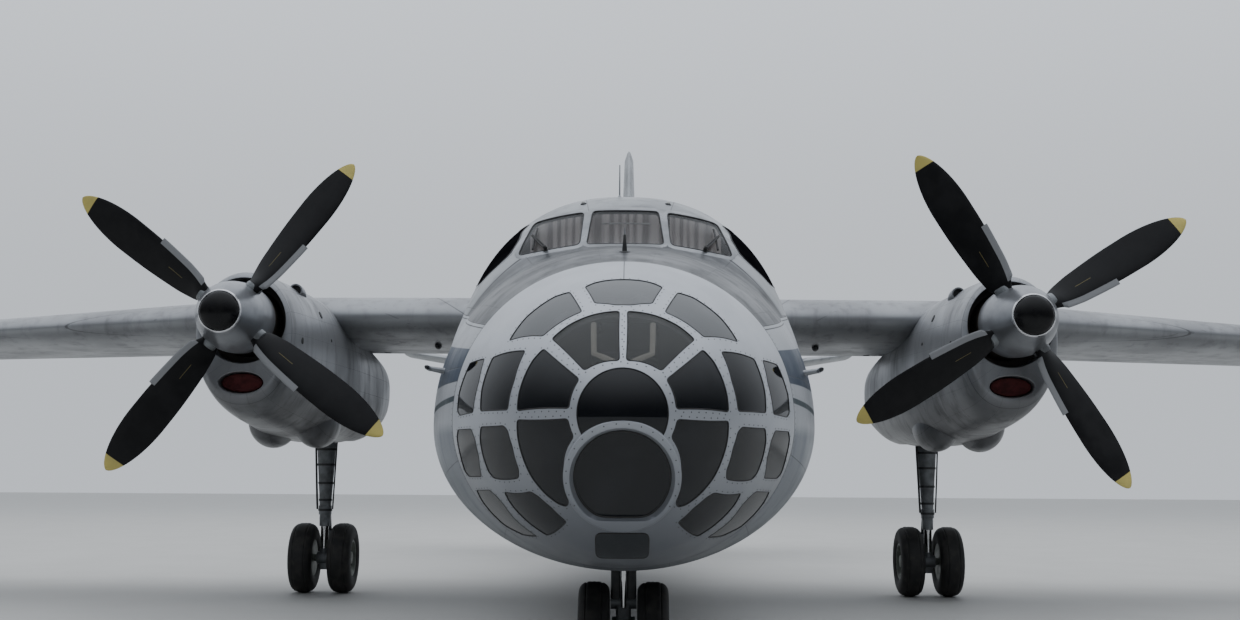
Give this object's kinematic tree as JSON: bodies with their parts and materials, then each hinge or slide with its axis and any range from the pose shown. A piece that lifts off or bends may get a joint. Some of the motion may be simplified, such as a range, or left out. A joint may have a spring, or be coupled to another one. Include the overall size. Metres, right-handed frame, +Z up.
{
  "type": "aerial survey aircraft",
  "caption": "High-wing propeller survey aircraft with a fully glazed navigator's nose, engine pods under the wing and tall retractable gear, parked on its wheels.",
  "frame": {"origin": "on the ground, under the middle of the aircraft's length and span", "axes": "+X to the aircraft's left along the span, +Y aft, +Z up"},
  "size_m": [29.2, 24.26, 8.32],
  "materials": {
    "fuselage_skin": "satin painted metal skin",
    "nose_skin": "light satin paint",
    "glazing": "clear",
    "interior": "matt grey-green paint",
    "seat_fabric": "woven",
    "wing_skin": "satin metal skin",
    "tail_skin": "satin metal skin",
    "pod_skin": "satin metal skin",
    "engine_metal": "matt dark metal",
    "exhaust_metal": "heat-stained steel",
    "propeller_black": "matt black paint, yellow tips",
    "spinner_metal": "satin, polished ring, black dome",
    "gear_steel": "grey satin paint",
    "wheel_rims": "grey-green paint",
    "tyres": "worn black rubber"
  },
  "bodies": {
    "airframe": {"nose_frame": "nose_skin", "nose_glazing": "glazing", "forward_fuselage": "fuselage_skin", "cockpit_glazing": "glazing", "cockpit_deck": "interior", "instrument_panel": "interior", "pilot_seats": "seat_fabric", "navigator_seat": "seat_fabric", "centre_fuselage": "fuselage_skin", "camera_panel_a": "fuselage_skin", "camera_panel_b": "fuselage_skin", "camera_panel_c": "fuselage_skin", "camera_panel_d": "fuselage_skin", "camera_panel_e": "fuselage_skin", "rear_fuselage": "fuselage_skin", "entry_door": "fuselage_skin", "tail_cone": "fuselage_skin", "fin": "tail_skin", "ventral_fin": "tail_skin", "wing_centre": "wing_skin", "nose_leg_housing": "gear_steel", "tailplane_left": "tail_skin", "wing_outer_left": "wing_skin", "cowl_left": "pod_skin", "nacelle_left": "pod_skin", "engine_left": "engine_metal", "exhaust_left": "exhaust_metal", "main_leg_left": "gear_steel", "tailplane_right": "tail_skin", "wing_outer_right": "wing_skin", "cowl_right": "pod_skin", "nacelle_right": "pod_skin", "engine_right": "engine_metal", "exhaust_right": "exhaust_metal", "main_leg_right": "gear_steel"},
    "propeller_left": {"propeller_left": "propeller_black", "spinner_left": "spinner_metal"},
    "propeller_right": {"propeller_right": "propeller_black", "spinner_right": "spinner_metal"},
    "main_wheels_left": {"main_wheels_left": "wheel_rims", "main_tyre_left_outer": "tyres", "main_tyre_left_inner": "tyres"},
    "main_wheels_right": {"main_wheels_right": "wheel_rims", "main_tyre_right_outer": "tyres", "main_tyre_right_inner": "tyres"},
    "nose_fork": {"nose_fork": "gear_steel"},
    "nose_wheels": {"nose_wheels": "wheel_rims", "nose_tyre_left": "tyres", "nose_tyre_right": "tyres"},
    "cargo_door": {"cargo_door": "fuselage_skin"},
    "rudder": {"rudder": "tail_skin"},
    "flap_inner_left": {"flap_inner_left": "wing_skin"},
    "flap_inner_right": {"flap_inner_right": "wing_skin"},
    "flap_outer_left": {"flap_outer_left": "wing_skin"},
    "flap_outer_right": {"flap_outer_right": "wing_skin"},
    "aileron_left": {"aileron_left": "wing_skin"},
    "aileron_right": {"aileron_right": "wing_skin"},
    "elevator_left": {"elevator_left": "tail_skin"},
    "elevator_right": {"elevator_right": "tail_skin"}
  },
  "joints": [
    {"name": "propeller_spin_left", "type": "hinge", "parent": "airframe", "child": "propeller_left", "pos_m": [3.95, -5.83, 3.11], "axis": [0, 1, 0], "continuous": true},
    {"name": "main_wheels_spin_left", "type": "hinge", "parent": "airframe", "child": "main_wheels_left", "pos_m": [3.95, -0.88, 0.45], "axis": [1, 0, 0], "continuous": true},
    {"name": "propeller_spin_right", "type": "hinge", "parent": "airframe", "child": "propeller_right", "pos_m": [-3.95, -5.83, 3.11], "axis": [0, 1, 0], "continuous": true},
    {"name": "main_wheels_spin_right", "type": "hinge", "parent": "airframe", "child": "main_wheels_right", "pos_m": [-3.95, -0.88, 0.45], "axis": [1, 0, 0], "continuous": true},
    {"name": "nose_steering", "type": "hinge", "parent": "airframe", "child": "nose_fork", "pos_m": [0, -8.53, 0.9], "axis": [0, 0, 1], "range_deg": [-45, 45]},
    {"name": "nose_wheels_spin", "type": "hinge", "parent": "nose_fork", "child": "nose_wheels", "pos_m": [0, -8.53, 0.35], "axis": [1, 0, 0], "continuous": true},
    {"name": "aileron_turn_left", "type": "hinge", "parent": "airframe", "child": "aileron_left", "pos_m": [9.4, -0.37796, 3.15165], "axis": [-0.9993, -0.0066, 0.0364], "range_deg": [-20, 20]},
    {"name": "aileron_turn_right", "type": "hinge", "parent": "airframe", "child": "aileron_right", "pos_m": [-9.4, -0.37796, 3.15165], "axis": [-0.9993, 0.0066, -0.0364], "range_deg": [-20, 20]},
    {"name": "elevator_turn_left", "type": "hinge", "parent": "airframe", "child": "elevator_left", "pos_m": [0.76, 10.13482, 3.39033], "axis": [-0.9872, -0.0307, -0.1563], "range_deg": [-30, 20]},
    {"name": "elevator_turn_right", "type": "hinge", "parent": "airframe", "child": "elevator_right", "pos_m": [-0.76, 10.13482, 3.39033], "axis": [-0.9872, 0.0307, 0.1563], "range_deg": [-30, 20]},
    {"name": "rudder_turn", "type": "hinge", "parent": "airframe", "child": "rudder", "pos_m": [0, 10.29672, 3.96], "axis": [0, 0.2295, 0.9733], "range_deg": [-25, 25]},
    {"name": "flap_inner_turn_left", "type": "hinge", "parent": "airframe", "child": "flap_inner_left", "pos_m": [1.51, -0.43629, 3.17595], "axis": [-1, -0.0001, -0.0022], "range_deg": [0, 38]},
    {"name": "flap_inner_turn_right", "type": "hinge", "parent": "airframe", "child": "flap_inner_right", "pos_m": [-1.51, -0.43629, 3.17595], "axis": [-1, 0.0001, 0.0022], "range_deg": [0, 38]},
    {"name": "flap_outer_turn_left", "type": "hinge", "parent": "airframe", "child": "flap_outer_left", "pos_m": [4.66, -0.43298, 3.17411], "axis": [-0.9997, -0.0082, 0.0233], "range_deg": [0, 38]},
    {"name": "flap_outer_turn_right", "type": "hinge", "parent": "airframe", "child": "flap_outer_right", "pos_m": [-4.66, -0.43298, 3.17411], "axis": [-0.9997, 0.0082, -0.0233], "range_deg": [0, 38]},
    {"name": "cargo_door_swing", "type": "hinge", "parent": "airframe", "child": "cargo_door", "pos_m": [-1.33261, -5.23, 2.842], "axis": [0, 1, 0], "range_deg": [0, 90]}
  ],
  "couplings": [
    {"joint": "aileron_turn_right", "follows": "aileron_turn_left", "ratio": -1},
    {"joint": "elevator_turn_right", "follows": "elevator_turn_left", "ratio": 1},
    {"joint": "flap_outer_turn_right", "follows": "flap_outer_turn_left", "ratio": 1},
    {"joint": "flap_inner_turn_left", "follows": "flap_outer_turn_left", "ratio": 1},
    {"joint": "flap_inner_turn_right", "follows": "flap_outer_turn_left", "ratio": 1}
  ]
}
